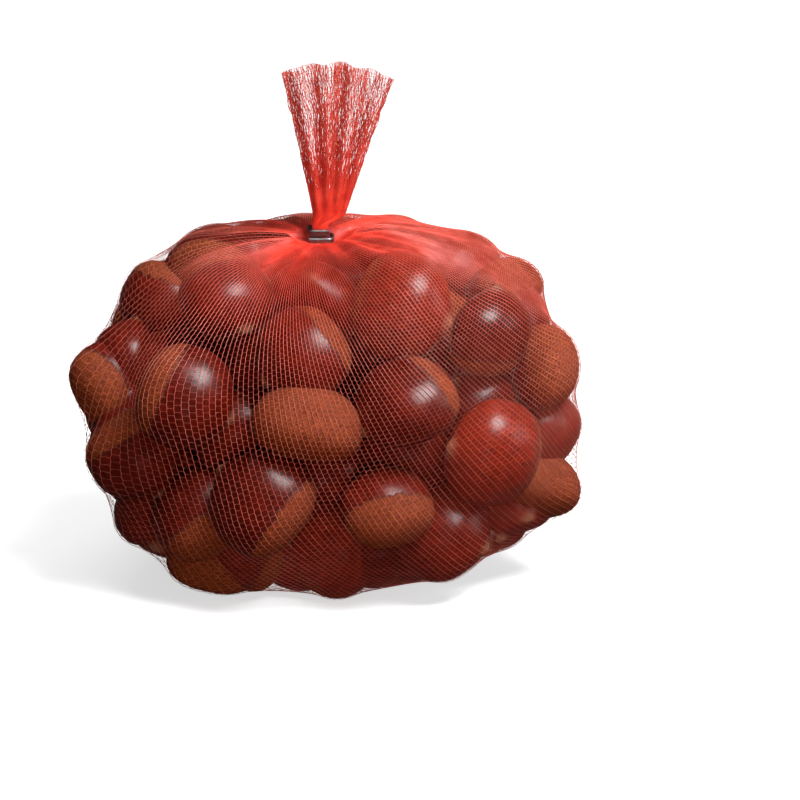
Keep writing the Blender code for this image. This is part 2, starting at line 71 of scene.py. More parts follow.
# Chestnuts: their width and its range, how far they tilt, the other measures as shares of half the
# width, how blunt the base and the flat side are, how uneven the skin is, and how close the shell's
# fine lines lie, round the nut and along it
NUT_WIDTH = 32 * MM
NUT_WIDTH_RANGE = (0.9, 1.08)
NUT_TILT = 0.22
NUT_HEIGHT_SHARE = 0.9
NUT_DOME_SHARE = 0.78
NUT_FLAT_SHARE = 0.56
NUT_BASE_POWER = 2.6
NUT_FLAT_POWER = 2.5
NUT_SHOULDER = 0.10
NUT_NIB = 0.11
NUT_UNEVENNESS = 0.012
GRAIN_ROUND = 5
GRAIN_ALONG = 1.4

# How the bag is filled: layers of nuts (how many places, and how far out), how near to another nut's
# middle is too near as a share of the width, how far out a nut counts as an outer one, and the room
# that is left round a gathered end
NUT_LAYERS = ((62, 1.0), (34, 0.62), (8, 0.26))
NUT_SPACING = 0.68
INNER_LEVEL = 0.55
GATHER_ROOM = 13 * MM
SEED = 11

# How readily nuts give way where they overlap: those in front, those that show between them, the
# rest. Nuts DEEP_SINK (mm) or more behind the net count as lying between, and are held further in.
FRONT_GIVE = 0.025
DEEP_GIVE = 0.4
FILLING_GIVE = 1.0
DEEP_SINK = 10
DEEP_INSET = 9 * MM
PUSH_APART = 0.35
PUSH_FROM_GATHER = 0.5

# How far the net bulges between the nuts, as a share of the bag's own curvature, and the angle from a
# gathered end over which the bulge comes up
NET_BULGE = 0.5
BULGE_FADE = 0.35

# Folds of the net round the top gather: height, how far out they rise and fade, and their waves as
# shares of the height, counts round the axis and shifts
FOLD_HEIGHT = 2.0 * MM
FOLD_RISE = 16 * MM
FOLD_FADE = 34 * MM
FOLD_WAVES = ((0.6, 11, -1.64), (0.4, 17, -2.52))
FOLD_LEVEL = 0.5

# Gathered ends of the net: where the clip's lower edge is, and the way out of the bag
TOP_GATHER = Vector((-2.9 * MM, 0, 114.1 * MM))
TOP_WAY = Vector((0, 0, 1))
END_GATHER = Vector((61 * MM, 53.6 * MM, 39.5 * MM))
END_WAY = Vector((0.477, 0.845, -0.242)).normalized()
NECK_HALF_WIDTH = 3.0 * MM
NECK_HALF_DEPTH = 2.7 * MM
CLIP_SPAN = 6.9 * MM
CLIP_REACH = 6 * MM
SLOPE_OUT_OF_CLIP = 0.8

# Threads in a neck: in how many layers they lie, how much narrower each layer is than the outermost,
# and how high they enter the neck
NECK_LAYERS = 4
NECK_LAYER_STEP = 0.13
NECK_MOUTH = 0.8 * MM

# The fan of net above the top clip, and the stub beyond the end clip
FAN_LENGTH = 61.9 * MM
FAN_HALF_WIDTH = 18.7 * MM
FAN_ROOT_HALF_WIDTH = 4.0 * MM
FAN_ROOT_SHARE = 0.08
FAN_HALF_THICKNESS = 0.9 * MM
FAN_FOLD = 1.7 * MM
FAN_FOLDS = 4
FAN_FOLD_SHIFT = 0.6
FAN_ROOT_SHIFT = 2.8 * MM
FAN_LEAN = 3.0 * MM
FAN_EDGE_DROP = 4.2 * MM
FAN_EDGE_PEAK = -0.13
FAN_EDGE_RAGGED = 0.006
FAN_LAYER_OFFSET = 0.004
STUB_LENGTH = 17 * MM
STUB_HALF_WIDTH = 6.5 * MM
STUB_HALF_THICKNESS = 1.4 * MM
STUB_RUFFLE = 0.5 * MM
STUB_EDGE = 0.3 * MM
STUB_ROWS = 14

# How far up the fan it has gone flat, has its full folds and has its stitches loose, as shares, and
# the twist and the crease at its root with how quickly they fade
FAN_FLAT_BY = 0.5
FAN_FOLDED_BY = 0.45
FAN_LOOSE_BY = 0.4
FAN_TWIST = 0.22
FAN_TWIST_FADE = 0.16
FAN_CREASE = 1.1 * MM
FAN_CREASE_FADE = 0.14

# The knit: how many lines of stitches run round the bag, how evenly they are spread, how far apart
# their stitches are, how far a link pulls two stitches together, and from which row on there are links
WALES = 236
WALE_EVENNESS = 0.6
COURSE_STEP = 0.95 * MM
STITCH_PULL = 0.035
FIRST_LINKED_ROW = 4

# How the lines sway from side to side: by which share of their spacing, how many waves along a line
# and from line to line, and the shift of the waves
SWAYS = ((0.5, 1.7, 3, 0), (0.35, 4.1, 7, 1))

# How far from a gather the knit begins, the side of the bag on which its rows are measured out, and
# the side of the top where the lines are fewer: in radians round from the left, with its slope, how
# wide it is and how much fewer they are
KNIT_STARTS_AT = 7 * MM
MEASURED_WAY = np.array([-0.3, -0.95, 0.0])
THIN_SIDE = 0.05
THIN_SLOPE = 2
THIN_WIDTH = 0.6
THINNED = 0.7

# Threads over the bag: how thick the lines and the links are where they are stretched, how near to
# the next line one hangs slack, and how much thicker it then is
WALE_THREAD = 0.15 * MM
LINK_THREAD = 0.075 * MM
SLACK_SPACING = 1.2 * MM
SLACK_SWELL = 1.0

# Threads in the fan: how thick they are, how much that changes from stitch to stitch, how far stitches
# wander sideways, how far apart they are, how closely the lines at the cut edge and the links count as
# lying, from which row on there are links, and their painted glow, which stands for the light that
# comes through
FAN_THREAD = 0.2 * MM
FAN_LINK_THREAD = 0.16 * MM
FAN_LOOP_SWELL = 0.4
FAN_WANDER = 0.02
FAN_COURSE_STEP = 1.1 * MM
FAN_EDGE_CROWD = 0.4
FAN_LINK_CROWD = 0.5
FAN_FIRST_LINKED_ROW = 7
FAN_PAINTED_GLOW = 0.28

# The thread's reds from dark to light: close together over the bag and in the fan, and where one
# thread lies by itself. The deeper close reds are painted in for light passing through several layers,
# and the paler lone reds are a painted sheen
NET_REDS = ((0.50, 0.018, 0.008), (0.74, 0.055, 0.034))
FAN_REDS = ((0.48, 0.016, 0.007), (0.68, 0.036, 0.018))
LONE_PAINTED_SHEEN_REDS = ((0.40, 0.060, 0.038), (0.58, 0.145, 0.108))

# Sparse bands that narrow down the fan from its cut edge: the middle of each, its half width as a
# share of the fan's half width, how far down it reaches, and how sparse it is. BAND_FOOT is how wide
# a band is at its lower end, as a share.
BAND_FOOT = 0.25
FAN_BANDS = (
    (-0.62, 0.22, 0.7, 0.6),
    (-0.23, 0.16, 0.3, 0.5),
    (-0.10, 0.07, 0.9, 0.45),
    (0.39, 0.16, 0.8, 0.55),
    (0.77, 0.2, 0.3, 0.5),
    (0.62, 0.06, 0.8, 0.45),
    (0.9, 0.05, 0.9, 0.4),
)

# Nuts that hold up the back of the top, out of the viewer's sight: where their centres are (mm),
# and how far beside the gather their tips point as they lie round it
TOP_SWIRL = 20
TOP_NUTS = ((-46, 10, 98), (-38, 36, 99), (-8, 37, 101), (23, 37, 101), (47, 22, 98))

# Nuts that show at the front, and between those: the place across and up from the bag's core as seen
# (mm), how far it lies behind the net (mm), its width (mm), where its pale base and its domed side
# point (right, up, to the viewer), how red its shell is (0 to 1), and how far up from its middle its
# base reaches (-1 to 1).
SEEN_NUTS = (
    (-50.3, 38.5, 0, 30, (0.3, 0.85, 0), (-0.6, 0.3, 0.7), 0.45, -0.45),
    (-33, 33.5, 1, 33, (-0.35, 0.6, -0.6), (0.35, 0.35, 0.85), 0.35, -0.35),
    (-73.3, 7.3, 0, 30, (-0.65, -0.5, 0.6), (0.6, 0.1, 0.75), 0.35, -0.1),
    (-46.9, 1.4, 0, 35, (-0.9, 0.4, -0.05), (0.2, 0.1, 0.95), 0.2, -0.3),
    (-9, 13.5, 4, 33, (0.8, 0.6, -0.15), (-0.35, 0.3, 0.85), 0.4, -0.45),
    (-8.5, -8.2, 0, 38, (0.05, 0.1, 1), (0.17, 0.97, -0.1), 0.3, -0.15),
    (24.5, 32, 0, 37, (-0.85, 0.3, -0.4), (-0.45, 0.1, 0.9), 1, -0.45),
    (24.8, -1.4, 0, 37, (0.78, 0.5, -0.3), (-0.4, 0.75, 0.5), 0.15, -0.4),
    (54, -15.6, 0, 37, (0.75, -0.1, -0.6), (0.1, -0.3, 0.95), 0.95, -0.5),
    (19.7, -34, 0, 31, (0.25, -0.85, 0.45), (0.1, 0.45, 0.85), 0.45, -0.1),
    (55.5, 21.5, 1, 33, (-0.15, -0.9, -0.25), (0.75, 0, 0.5), 0.15, -0.4),
    (53.8, 40.5, 0, 26, (0.5, 0.5, 0.6), (-0.3, 0.8, -0.4), 0.5, -0.15),
    (69.3, 12.2, 0, 29, (0.5, 0.2, 0.75), (0.7, -0.1, -0.5), 0.4, -0.1),
    (71.5, -9.5, 0, 29, (-0.3, -0.6, -0.3), (0.8, 0.1, 0.5), 0.8, -0.4),
    (64.3, -28.6, 0, 32, (0.4, 0.2, 0.8), (0.1, 0.9, -0.3), 0.5, -0.1),
    (41, -41, 2, 35, (-0.85, 0.35, -0.35), (0, 0.3, 0.9), 0.55, -0.45),
    (1.7, -53, 0, 35, (-0.6, -0.5, -0.5), (0.2, 0.3, 0.9), 0.9, -0.5),
    (-22.4, -30, 0, 37, (0.75, -0.6, 0.1), (-0.25, 0, 0.95), 0.1, -0.45),
    (-41.5, -36.7, 8, 35, (0.5, -0.8, 0.3), (-0.1, 0.4, 0.9), 0.25, -0.25),
    (-39, -52, 0, 33, (-0.2, -0.4, 0.8), (0.1, 0.85, 0.4), 0.4, -0.1),
    (-65.2, -17.3, 0, 33, (-0.5, 0.8, 0), (-0.1, 0.1, 0.95), 0.3, -0.3),
    (-56.5, -34.4, 3, 31, (0.6, 0.3, 0.3), (-0.2, 0.8, 0.4), 0.4, -0.45),
    (-3.5, 35, 3, 32, (0.1, -0.5, -0.85), (0.1, 0.7, 0.6), 0.5, -0.5),
    (28.9, -17.3, 14, 32, (-0.5, -0.7, -0.6), (0.2, 0.1, 0.95), 0.2, -0.5),
    (-28, -11, 14, 32, (0.5, -0.6, -0.6), (-0.2, 0.2, 0.95), 0.25, -0.5),
    (-30, 17, 14, 32, (-0.6, 0.3, -0.7), (0.1, 0.3, 0.9), 0.2, -0.5),
    (54, 5.5, 15, 33, (0.5, -0.6, -0.6), (-0.2, 0.3, 0.9), 0.25, -0.5),
    (41, 14, 15, 32, (-0.3, -0.5, -0.8), (0.4, 0.3, 0.85), 0.2, -0.5),
    (47.6, -32.6, 14, 32, (0.5, 0.3, -0.8), (-0.2, 0.5, 0.85), 0.3, -0.5),
    (0, -33, 14, 32, (0.3, 0.5, -0.8), (0.1, 0.4, 0.9), 0.25, -0.5),
    (-61, 13, 24, 31, (0.4, 0.5, -0.7), (-0.2, 0.3, 0.9), 0, -0.5),
    (-75, -6, 12, 30, (0.4, 0.5, -0.7), (-0.4, 0.2, 0.8), 0.6, -0.5),
    (-68, -34, 11, 30, (0.5, 0.3, -0.8), (-0.4, 0.2, 0.8), 0.6, -0.5),
    (-56, -49, 11, 30, (0.2, 0.6, -0.8), (-0.3, 0.2, 0.8), 0.5, -0.5),
    (-18, -58, 12, 32, (0.2, 0.6, -0.8), (0.1, 0.3, 0.9), 0.5, -0.5),
    (24, -56, 12, 32, (-0.3, 0.6, -0.8), (0.1, 0.3, 0.9), 0.5, -0.5),
    (53.5, -38, 4, 31, (-0.4, 0.3, -0.8), (0.4, -0.1, 0.9), 0.6, -0.5),
    (66, 27, 13, 31, (-0.5, 0.3, -0.7), (0.4, 0.3, 0.8), 0.5, -0.5),
    (73, 2, 12, 30, (-0.5, 0.4, -0.7), (0.5, 0.2, 0.8), 0.5, -0.5),
    (71, -19, 12, 30, (-0.5, 0.4, -0.7), (0.5, -0.1, 0.8), 0.5, -0.5),
)

# Nuts further back that close the gaps between those, told the same way, without redness and base
GAP_NUTS = (
    (-20, 55, 14, 34, (0.2, -0.3, 0.9), (0.1, 0.9, 0.3)),
    (-46, 50, 12, 32, (0.3, -0.3, -0.9), (-0.2, 0.8, 0.5)),
    (-34, 56, 30, 34, (0.3, -0.3, -0.9), (-0.2, 0.8, 0.5)),
    (6, 57, 18, 34, (0.3, -0.3, -0.9), (0.1, 0.9, 0.3)),
    (24, 58, 26, 34, (0.3, -0.3, -0.9), (0.1, 0.9, 0.3)),
    (40, 52, 12, 34, (0.3, -0.3, -0.9), (0.1, 0.9, 0.3)),
    (67, 34, 10, 32, (-0.4, 0.3, -0.8), (0.3, 0.4, 0.8)),
    (76, 2, 12, 32, (-0.4, 0.3, -0.8), (0.5, 0.2, 0.8)),
    (74, -20, 12, 32, (-0.4, 0.3, -0.8), (0.5, 0.2, 0.8)),
    (66, -37, 4, 32, (-0.4, 0.3, -0.8), (0.4, -0.1, 0.9)),
    (52, -48, 6, 32, (-0.4, 0.3, -0.8), (0.4, -0.1, 0.9)),
    (27, -56, 5, 34, (-0.4, 0.5, -0.8), (0.1, 0.2, 0.95)),
    (-18, -59, 4, 34, (0.4, 0.5, -0.8), (0.1, 0.2, 0.95)),
    (-60, -47, 6, 32, (0.4, 0.5, -0.8), (-0.2, 0.2, 0.9)),
    (-72, -32, 8, 32, (0.4, 0.5, -0.8), (-0.3, 0.2, 0.9)),
    (-80, -6, 12, 32, (0.4, 0.5, -0.8), (-0.4, 0.2, 0.9)),
    (-56, 12, 24, 30, (0.4, 0.5, -0.8), (-0.4, 0.2, 0.9)),
    (-62, 46, 10, 26, (0.3, -0.3, -0.9), (-0.2, 0.8, 0.5)),
    (-60, -46, 14, 26, (0.4, 0.5, -0.8), (-0.2, 0.2, 0.9)),
    (-20, -53, 14, 27, (0.4, 0.5, -0.8), (0.1, 0.2, 0.95)),
    (23, -53, 14, 27, (-0.4, 0.5, -0.8), (0.1, 0.2, 0.95)),
    (76, 27, 12, 25, (-0.4, 0.3, -0.8), (0.3, 0.4, 0.8)),
)

# Nuts along the outline as seen: how many, how far to the viewer's side and away from it they may
# lean, and how near to another nut's middle is too near, as a share of their width
OUTLINE_NUTS = 30
OUTLINE_LEANS = (-0.45, -0.3, -0.15, 0.0, 0.15, 0.3, 0.45)
OUTLINE_SPACING = 0.28

# How many of the nuts nearest to the viewer have the finest mesh, unless they lie deep inside, and
# how fine the front, back and inner nuts are
FINE_NUTS = 25
FINENESS = (5, 4, 3)

# Lights: name, azimuth from the front towards the right and elevation (degrees), distance and side
# (metres), power (watts), and whether shells and clips mirror it
SOFTBOXES = (
    ("key", 44, 54, 0.62, 0.3, 7, True),
    ("side", 80, 18, 1.1, 0.5, 2.2, True),
    ("fill", -40, 30, 1.8, 1.2, 1, False),
    ("low_front", 5, -1, 0.9, 0.3, 5.5, False),
    ("overhead", 0, 85, 1.8, 1.5, 8, False),
    ("backdrop", 180, 50, 1.8, 1.6, 7, False),
)
SURROUND_STRENGTH = 0.025
FLOOR_REACH = 4.0

Nut = namedtuple("Nut", "centre axes half give")


def icosphere(level):
    """Unit directions, triangles and edges of a Blender icosphere."""
    sphere = bmesh.new()
    bmesh.ops.create_icosphere(sphere, subdivisions=level, radius=1.0)
    points = np.array([vert.co for vert in sphere.verts])
    faces = np.array([[vert.index for vert in face.verts] for face in sphere.faces])
    edges = np.array([[vert.index for vert in edge.verts] for edge in sphere.edges])
    sphere.free()
    return unit(points), faces, edges


def unit(vectors):
    """Vectors scaled to length one."""
    return vectors / np.maximum(np.linalg.norm(vectors, axis=-1, keepdims=True), 1e-12)


def view_axes():
    """Right, up and towards the viewer, as seen from VIEW_ELEVATION in front of the bag."""
    rise, run = math.sin(VIEW_ELEVATION), math.cos(VIEW_ELEVATION)
    return np.array([[1, 0, 0], [0, rise, run], [0, -run, rise]])


# The nuts and how they lie, by the same rules as in the solid


def shell_level(points, inset):
    """How far out points are: 1 on the bag's rounded-box shell drawn in by inset, under 1 inside it."""
    half = np.array([BAG_WIDTH, BAG_DEPTH, BAG_HEIGHT]) / 2 - inset
    share = np.abs((points - MIDDLE) / half) ** BAG_SQUARENESS
    return share.sum(-1) ** (1 / BAG_SQUARENESS)


def to_shell(points, inset, level=1.0):
    """Points moved along their own radius onto that shell, or onto a smaller copy of it."""
    return MIDDLE + (points - MIDDLE) * level / shell_level(points, inset)[..., None]


def seen_place(across, up, sink, inset):
    """Where a nut's centre lies, from its place in the view: on the shell as the viewer meets it."""
    right, top, near = view_axes()
    eye = CORE + near * VIEW_DISTANCE
    way = unit(CORE + right * across + top * up - eye)
    reach = np.linspace(VIEW_DISTANCE - BAG_DEPTH, VIEW_DISTANCE + BAG_DEPTH, 521)
    along = eye + way * reach[:, None]
    level = shell_level(along, inset)
    inside = np.flatnonzero(level <= 1)
    first = inside[0] if len(inside) else level.argmin()
    return along[first] + way * sink


def oriented(tip, dome):
    """Rows of a nut's own axes: broad, to the tip, and out of its domed side."""
    tip = unit(np.array(tip, float))
    dome = unit(dome - np.dot(dome, tip) * tip)
    return np.array([np.cross(tip, dome), tip, dome])


def half_sizes(width):
    """Half the width, height and mean thickness of a nut."""
    thickness = (NUT_DOME_SHARE + NUT_FLAT_SHARE) / 2
    return np.array([1, NUT_HEIGHT_SHARE, thickness]) * width / 2


def nuts_in_view(rows):
    """Nuts placed by where they are in the view."""
    axes = view_axes()
    nuts = []
    for across, up, sink, width, base, dome, *_ in rows:
        own_axes = oriented(axes.T @ -np.array(base), axes.T @ np.array(dome))
        half = half_sizes(width * MM)
        reach = np.linalg.norm((own_axes @ axes[2]) * half)
        centre = seen_place(across * MM, up * MM, sink * MM, reach)
        nuts.append(Nut(centre, own_axes, half, FRONT_GIVE if sink < DEEP_SINK else DEEP_GIVE))
    return nuts


def placed_nuts():
    """The nuts that are placed one by one: those that show at the front, and those under the top."""
    nuts = nuts_in_view(SEEN_NUTS)
    for place in TOP_NUTS:
        own_axes = oriented((place[1], TOP_SWIRL - place[0], 0), (0, 0, 1))
        nuts.append(Nut(np.array(place) * MM, own_axes, half_sizes(NUT_WIDTH), FRONT_GIVE))
    return nuts


def fibonacci_directions(count):
    """Evenly spread unit directions."""
    turn = math.pi * (3 - math.sqrt(5)) * np.arange(count)
    height = 1 - (2 * np.arange(count) + 1) / count
    ring = np.sqrt(1 - height**2)
    return np.column_stack([ring * np.cos(turn), ring * np.sin(turn), height])


def filling_nuts(placed, rng):
    """Nuts for the rest of the bag: layers of spread places, less those that are taken."""
    taken = [nut.centre for nut in placed]
    nuts = []
    for count, level in NUT_LAYERS:
        for way in fibonacci_directions(count):
            width = NUT_WIDTH * rng.uniform(*NUT_WIDTH_RANGE)
            half = half_sizes(width)
            outward = way + rng.normal(0, NUT_TILT, 3)
            tip = np.cross(outward, rng.normal(0, 1, 3))
            centre = to_shell(MIDDLE + way, half[2] * 1.05, level)
            if min(np.linalg.norm(centre - other) for other in taken) > width * NUT_SPACING:
                nuts.append(Nut(centre, oriented(tip, outward), half, FILLING_GIVE))
                taken.append(centre)
    return nuts


def reach_towards(axes, half, ways):
    """How far each nut reaches from its centre along each way, with the nut taken as an ellipsoid."""
    local = np.einsum("ijk,iak->ija", ways, axes)
    return 1 / np.sqrt(np.maximum(((local / half[:, None]) ** 2).sum(-1), 1))


def settled(placed, filling, rounds=90):
    """The nuts pushed apart where they overlap, kept inside the bag and above its base."""
    nuts = placed + filling
    centres = np.array([nut.centre for nut in nuts])
    axes = np.array([nut.axes for nut in nuts])
    half = np.array([nut.half for nut in nuts])
    give = np.array([nut.give for nut in nuts])
    inset = (half[:, 2] + DEEP_INSET * (give == DEEP_GIVE))[:, None]
    down = np.sqrt(((axes[:, :, 2] * half) ** 2).sum(1))
    gathers = np.array([TOP_GATHER, END_GATHER])
    for _ in range(rounds):
        between = centres[:, None] - centres[None]
        distance = np.linalg.norm(between, axis=2) + np.eye(len(nuts))
        ways = between / distance[..., None]
        reach = reach_towards(axes, half, ways)
        overlap = np.maximum(0, reach + reach.T - distance)
        np.fill_diagonal(overlap, 0)
        centres += (ways * overlap[..., None]).sum(1) * PUSH_APART * give[:, None]
        between = centres[:, None] - gathers[None]
        distance = np.linalg.norm(between, axis=2)
        ways = between / distance[..., None]
        crowding = np.maximum(0, reach_towards(axes, half, ways) + GATHER_ROOM - distance)
        centres += (ways * crowding[..., None]).sum(1) * PUSH_FROM_GATHER * give[:, None]
        outside = (shell_level(centres, inset) > 1) & (give > FRONT_GIVE)
        held = to_shell(centres, inset)
        centres[outside] = held[outside]
        centres[:, 2] = np.maximum(centres[:, 2], down + 2 * NET_THICKNESS)
    return [Nut(*parts) for parts in zip(centres, axes, half, give)]


def nut_skin(directions, width):
    """Unit directions (broad, to the tip, through the thickness) laid onto a nut's skin."""
    half = width / 2
    polar = np.arccos(np.clip(directions[:, 1], -1, 1))
    around = directions[:, [0, 2]]
    around = around / np.maximum(np.linalg.norm(around, axis=1, keepdims=True), 1e-9)
    below = directions[:, 1] < 0
    blunt = np.where(below, 2 / NUT_BASE_POWER, 1.0)
    ring = np.abs(np.sin(polar)) ** blunt
    ring *= 1 - NUT_SHOULDER * np.exp(-(((polar - 0.5) / 0.3) ** 2))
    height = np.sign(directions[:, 1]) * np.abs(directions[:, 1]) ** blunt
    height += NUT_NIB * np.exp(-((polar / 0.15) ** 2))
    flat = np.where(around[:, 1] < 0, 2 / NUT_FLAT_POWER, 1.0)
    thick = np.where(around[:, 1] < 0, NUT_FLAT_SHARE, NUT_DOME_SHARE)
    broad = np.sign(around[:, 0]) * np.abs(around[:, 0]) ** flat
    through = np.sign(around[:, 1]) * np.abs(around[:, 1]) ** flat
    return half * np.column_stack([ring * broad, height * NUT_HEIGHT_SHARE, ring * through * thick])


# The skin that the net takes


def nuts_tree(nuts):
    """A search tree over the skins of all nuts."""
    directions, faces, _ = icosphere(4)
    points = []
    triangles = []
    for nut in nuts:
        triangles.append(faces + len(points) * len(directions))
        skin = nut_skin(directions, 2 * nut.half[0])
        points.append(nut.centre + skin @ nut.axes)
    return BVHTree.FromPolygons(np.concatenate(points).tolist(), np.concatenate(triangles).tolist())


def gather_reach(directions, place, radius):
    """How far a ball at a gathered end reaches from the core along each direction, or 0."""
    offset = np.array(place) - CORE
    along = directions @ offset
    off_axis = np.linalg.norm(offset - directions * along[:, None], axis=1)
    hit = (off_axis < radius) & (along > 0)
    return np.where(hit, along + np.sqrt(np.maximum(radius**2 - off_axis**2, 0)), 0)


def solid_reach(directions, tree):
    """How far the nuts and the gathered ends reach from the core along each direction, or 0."""
    far = BAG_WIDTH
    solid = np.zeros(len(directions))
    for index, way in enumerate(directions):
        place, _, _, distance = tree.ray_cast(Vector(CORE + way * far), Vector(-way))
        if place is not None:
            solid[index] = far - distance + NET_THICKNESS
    for place, way in ((TOP_GATHER, TOP_WAY), (END_GATHER, END_WAY)):
        ball = place - way * NECK_HALF_WIDTH
        solid = np.maximum(solid, gather_reach(directions, ball, NECK_HALF_WIDTH))
    return solid


def neighbour_means(points, edges):
    """The middle of the neighbours of each point."""
    total = np.zeros_like(points)
    for one, other in ((0, 1), (1, 0)):
        for axis in range(3):
            total[:, axis] += np.bincount(edges[:, one], points[edges[:, other], axis], len(points))
    return total / np.bincount(edges.ravel(), minlength=len(points))[:, None]


def bulge_share(directions):
    """How much of the net's bulge there is along each direction: none at the gathered ends."""
    share = np.ones(len(directions))
    for place in (TOP_GATHER, END_GATHER):
        way = unit(np.array(place) - CORE)
        angle = np.arccos(np.clip(directions @ way, -1, 1))
        share *= 1 - np.exp(-((angle / BULGE_FADE) ** 2))
    return share


def tightened_net(nuts):
    """The skin that a stretched net takes over the nuts, found on finer and finer spheres.

    Each point moves out along its own direction to the middle of its neighbours and a little beyond,
    as in a soap film with some pressure behind it, which fades out towards the two gathered ends. It
    stays outside the nuts and the gathered ends, and never goes under the flat base.
    """
    tree = nuts_tree(nuts)
    skin = None
    for level, rounds in ((4, 240), (5, 120), (6, 90), (7, 60)):
        directions, faces, edges = icosphere(level)
        solid = solid_reach(directions, tree)
        down = np.maximum(-directions[:, 2], 1e-6)
        floor = np.where(directions[:, 2] < 0, CORE_HEIGHT / down, np.inf)
        spread = np.linalg.norm(directions[:, :2], axis=1) / down * CORE_HEIGHT
        on_base = (directions[:, 2] < 0) & (spread < BASE_RADIUS)
        solid = np.where(on_base, floor, np.minimum(solid, floor))
        if skin is None:
            radius = np.maximum(solid, np.median(solid))
        else:
            radius = np.array([skin.ray_cast(Vector(CORE), Vector(way))[3] for way in directions])
        step = np.linalg.norm(directions[edges[:, 0]] - directions[edges[:, 1]], axis=1).mean()
        bulge = NET_BULGE * bulge_share(directions) * step**2 * BAG_HEIGHT / 4
        for _ in range(rounds):
            drawn = (neighbour_means(directions * radius[:, None], edges) * directions).sum(1)
            radius = np.clip(drawn + bulge, solid, floor)
        skin = BVHTree.FromPolygons((CORE + directions * radius[:, None]).tolist(), faces.tolist())
    return skin


def held_inside(nut, skin, rounds=6):
    """The nut moved towards the bag's core until it lies inside the net."""
    directions, _, _ = icosphere(3)
    offsets = nut_skin(directions, 2 * nut.half[0]) @ nut.axes
    centre = nut.centre
    for _ in range(rounds):
        ways = unit(centre + offsets - CORE)
        reach = np.linalg.norm(centre + offsets - CORE, axis=1)
        room = np.array([skin.ray_cast(Vector(CORE), Vector(way))[3] for way in ways])
        beyond = max(0, (reach - room).max() + WALE_THREAD)
        centre = centre - unit(centre - CORE) * beyond
    return nut._replace(centre=centre)


def outline_nuts(nuts, skin):
    """Nuts along the bag's outline as the viewer sees it, each as far out as the net lets it.

    Places too near to another nut are left out, unless that nut lies deep between the front ones.
    """
    right, top, near = view_axes()
    taken = [nut.centre for nut in nuts if nut.give != DEEP_GIVE]
    added = []
    for turn in np.arange(OUTLINE_NUTS) * 2 * math.pi / OUTLINE_NUTS:
        across = right * math.cos(turn) + top * math.sin(turn)
        own_axes = oriented(np.cross(across, near), across)
        tries = []
        for lean in OUTLINE_LEANS:
            start = CORE + unit(across + near * lean) * BAG_WIDTH
            tries.append(held_inside(Nut(start, own_axes, half_sizes(NUT_WIDTH), FILLING_GIVE), skin))
        nut = max(tries, key=lambda tried: tried.centre @ across)
        if min(np.linalg.norm(nut.centre - other) for other in taken) > NUT_WIDTH * OUTLINE_SPACING:
            added.append(nut)
            taken.append(nut.centre)
    return added


def pleat(azimuth, distance):
    """Height of the folds that run out from the top gather, at a distance from its axis."""
    rise = 1 - np.exp(-((distance / FOLD_RISE) ** 2))
    fade = np.exp(-((distance / FOLD_FADE) ** 2))
    waves = sum(share * np.cos(count * azimuth + shift) for share, count, shift in FOLD_WAVES)
    return FOLD_HEIGHT * rise * fade * np.maximum(0, waves + FOLD_LEVEL)


# The knit: lines of stitches (wales) from one gathered end to the other, and rows across (courses)


class Pencil:
    """Circles on a unit sphere through two poles, and the circles that cross them squarely.

    Seen from the second pole the sphere is laid flat, so that the first kind are straight lines
    through the first pole, and the second kind are circles round it.
    """

    def __init__(self, first, second):
        self.second = unit(np.array(second))
        first = unit(np.array(first))
        self.one = unit(first - first @ self.second * self.second)
        self.two = np.cross(self.second, self.one)
        self.start = self.flat(first)

    def flat(self, direction):
        """A direction as a complex number in the flat map."""
        place = direction @ self.one + 1j * (direction @ self.two)
        return place / (1 - direction @ self.second)

    def directions(self, turn, reach):
        """Directions at an angle round the first pole and a distance from it in the flat map."""
        place = self.start + reach * np.exp(1j * turn)
        size = np.abs(place)[..., None] ** 2
        level = 2 * (place.real[..., None] * self.one + place.imag[..., None] * self.two)
        return (level + (size - 1) * self.second) / (size + 1)

    def even_turns(self, thin_turn):
        """Angles for lines of stitches, closer where the lines spread far apart, fewer on one side."""
        turns = np.linspace(0, 2 * math.pi, 1441)
        reach = np.geomspace(0.05, 30, 200)
        place = self.start + reach[None] * np.exp(1j * turns[:, None])
        spread = (2 * reach[None] / (1 + np.abs(place) ** 2)).max(1) ** WALE_EVENNESS
        aside = np.angle(np.exp(1j * (turns - thin_turn)))
        spread *= 1 - THINNED * np.exp(-((aside / THIN_WIDTH) ** 2))
        share = np.concatenate([[0], np.cumsum((spread[1:] + spread[:-1]) / 2)])
        return np.interp(np.arange(WALES) / WALES, share / share[-1], turns)


def on_skin(skin, directions):
    """Points of the net's skin along directions from the core, with the folds round the top."""
    flat = directions.reshape(-1, 3)
    points = np.array([skin.ray_cast(Vector(CORE), Vector(way))[0] for way in flat])
    across, back = points[:, 0] - TOP_GATHER.x, points[:, 1] - TOP_GATHER.y
    distance = np.hypot(across, back)
    azimuth = np.arctan2(back, across)
    upper = flat[:, 2] > 0.5
    points[:, 2] += np.where(upper, pleat(azimuth, distance), 0)
    highest = TOP_GATHER.z + SLOPE_OUT_OF_CLIP * np.maximum(0, distance - CLIP_REACH)
    points[:, 2] = np.where(upper, np.minimum(points[:, 2], highest), points[:, 2])
    points[:, 2] = np.maximum(points[:, 2], WALE_THREAD * 0.6)
    return points.reshape(directions.shape)


